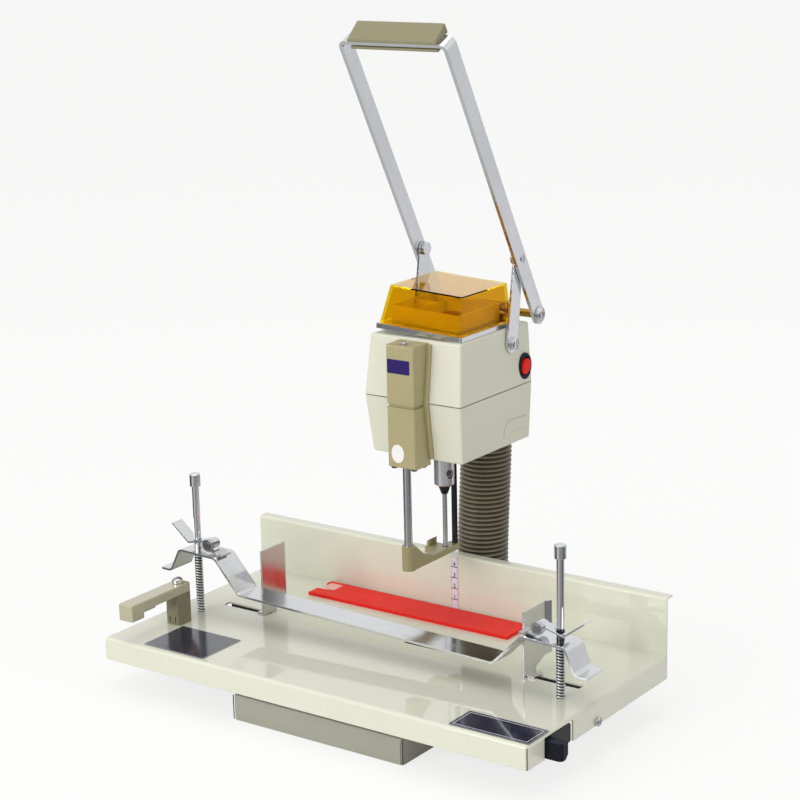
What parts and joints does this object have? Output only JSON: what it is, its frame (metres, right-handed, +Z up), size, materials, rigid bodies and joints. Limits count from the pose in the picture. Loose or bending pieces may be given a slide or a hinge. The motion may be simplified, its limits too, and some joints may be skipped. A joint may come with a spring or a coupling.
{
  "type": "bench paper drilling and riveting machine",
  "caption": "Bench machine that drills a stack of paper for riveting: sliding table with fence and clamp bar, motor head on a column and a two-armed hand lever.",
  "frame": {"origin": "on the desk, on the drill axis, at the underside of the base", "axes": "+X to the right, +Y to the back (the user stands on the -Y side), +Z up"},
  "size_m": [0.4361, 0.304, 0.5506],
  "materials": {
    "amber_clear": "clear amber moulding",
    "beige_paint": "powder coat, grey beige",
    "black_plastic": "moulded, black",
    "brass": "turned",
    "bronze_bush": "sintered",
    "chrome_plate": "bright plating",
    "dark_steel": "blackened",
    "hose_rubber": "corrugated, khaki grey",
    "ivory_paint": "powder coat, ivory",
    "ivory_plastic": "moulded, light ivory, fine grain",
    "label_film": "dark film, bare",
    "motor_steel": "grey enamel",
    "olive_paint": "enamel, olive",
    "olive_plastic": "moulded, olive khaki, satin",
    "polished_steel": "polished",
    "red_plastic": "moulded, bright red",
    "ruler_film": "printed strip"
  },
  "bodies": {
    "base": {"base_cover": "beige_paint", "base_plate": "dark_steel", "column_foot": "beige_paint", "column": "polished_steel", "slide_rail": "dark_steel", "rail_knobs": "black_plastic", "anvil_rail": "polished_steel", "glide_plate": "polished_steel", "cross_shaft": "brass", "shaft_block": "brass", "pivot_bolts": "brass", "dust_hose": "hose_rubber", "return_spring": "polished_steel"},
    "table": {"work_table": "ivory_paint", "back_fence": "ivory_paint", "ruler_strip": "ruler_film", "drill_pad": "red_plastic", "label_plates": "label_film", "side_screws": "chrome_plate", "table_runners": "black_plastic", "clamp_rods": "chrome_plate", "clamp_springs": "chrome_plate", "cutter_post": "olive_plastic", "cutter_screw": "chrome_plate"},
    "clamp": {"clamp_bar": "chrome_plate", "latch_clips": "polished_steel", "latch_pins": "chrome_plate"},
    "lever_left": {"latch_lever_left": "chrome_plate"},
    "lever_right": {"latch_lever_right": "chrome_plate"},
    "stop_left": {"side_stop_left": "chrome_plate"},
    "stop_right": {"side_stop_right": "chrome_plate"},
    "cutter": {"cutter_arm": "olive_plastic", "cutter_blade": "polished_steel"},
    "head": {"upper_case": "ivory_plastic", "lower_case": "ivory_plastic", "front_cover": "olive_plastic", "cover_flange": "olive_plastic", "cover_screws": "dark_steel", "guide_bushes": "bronze_bush", "switch_bezel": "black_plastic", "tray_plate": "chrome_plate", "hinge_pin": "polished_steel", "parts_tray": "amber_clear", "rivet_box": "black_plastic", "motor": "motor_steel", "spindle_housing": "polished_steel"},
    "hood": {"hood": "amber_clear"},
    "rocker": {"switch_rocker": "red_plastic"},
    "spindle": {"spindle": "polished_steel", "chuck": "chrome_plate", "chuck_collar": "black_plastic", "drill_bit": "polished_steel"},
    "foot": {"presser_foot": "olive_paint", "foot_rods": "polished_steel"},
    "handle": {"handle_frame": "chrome_plate", "handle_grip": "olive_plastic", "link_rivets": "chrome_plate"},
    "links": {"links": "chrome_plate", "link_bolts": "chrome_plate"}
  },
  "joints": [
    {"name": "head_slide", "type": "slide", "parent": "base", "child": "head", "axis": [0, 0, -1], "range_m": [0, 0.0545], "stiffness_N_per_m": 700, "springref_m": -0.055, "deforming": ["dust_hose", "return_spring"]},
    {"name": "handle_pivot", "type": "hinge", "parent": "base", "child": "handle", "pos_m": [0, 0.069, 0.3023], "axis": [1, 0, 0], "range_deg": [0, 67.9]},
    {"name": "link_pivot", "type": "hinge", "parent": "handle", "child": "links", "pos_m": [0, 0.04333, 0.35377], "axis": [1, 0, 0], "range_deg": [-37.9, 0]},
    {"name": "hood_hinge", "type": "hinge", "parent": "head", "child": "hood", "pos_m": [0.00039, 0.0452, 0.30607], "axis": [-0.9989, 0, 0.0471], "range_deg": [0, 22]},
    {"name": "rocker_tilt", "type": "hinge", "parent": "head", "child": "rocker", "pos_m": [0.04512, 0.053, 0.2615], "axis": [0, 1, 0], "range_deg": [-18, 0]},
    {"name": "spindle_spin", "type": "hinge", "parent": "head", "child": "spindle", "pos_m": [0, 0, 0.1642], "axis": [0, 0, 1], "continuous": true},
    {"name": "foot_slide", "type": "slide", "parent": "head", "child": "foot", "axis": [0, 0, 1], "range_m": [0, 0.046], "stiffness_N_per_m": 60, "springref_m": -0.02},
    {"name": "table_slide", "type": "slide", "parent": "base", "child": "table", "axis": [1, 0, 0], "range_m": [-0.0825, 0.0975]},
    {"name": "clamp_slide", "type": "slide", "parent": "table", "child": "clamp", "axis": [0, 0, 1], "range_m": [-0.019, 0], "stiffness_N_per_m": 600, "springref_m": 0.015, "deforming": ["clamp_springs"]},
    {"name": "latch_lever_right_tilt", "type": "hinge", "parent": "clamp", "child": "lever_right", "pos_m": [0.15743, -0.1, 0.1015], "axis": [0, 1, 0], "range_deg": [-8, 0]},
    {"name": "latch_lever_left_tilt", "type": "hinge", "parent": "clamp", "child": "lever_left", "pos_m": [-0.17204, -0.1, 0.1107], "axis": [0, 1, 0], "range_deg": [0, 8]},
    {"name": "stop_right_slide", "type": "slide", "parent": "table", "child": "stop_right", "axis": [1, 0, 0], "range_m": [0, 0.04]},
    {"name": "stop_left_slide", "type": "slide", "parent": "table", "child": "stop_left", "axis": [-1, 0, 0], "range_m": [0, 0.04]},
    {"name": "cutter_swing", "type": "hinge", "parent": "table", "child": "cutter", "pos_m": [-0.187, -0.13075, 0.0815], "axis": [0, 0, 1], "range_deg": [-25, 60]}
  ],
  "couplings": [
    {"joint": "handle_pivot", "follows": "head_slide", "rad_per_m": 21.577},
    {"joint": "link_pivot", "follows": "head_slide", "rad_per_m": -11.97}
  ]
}
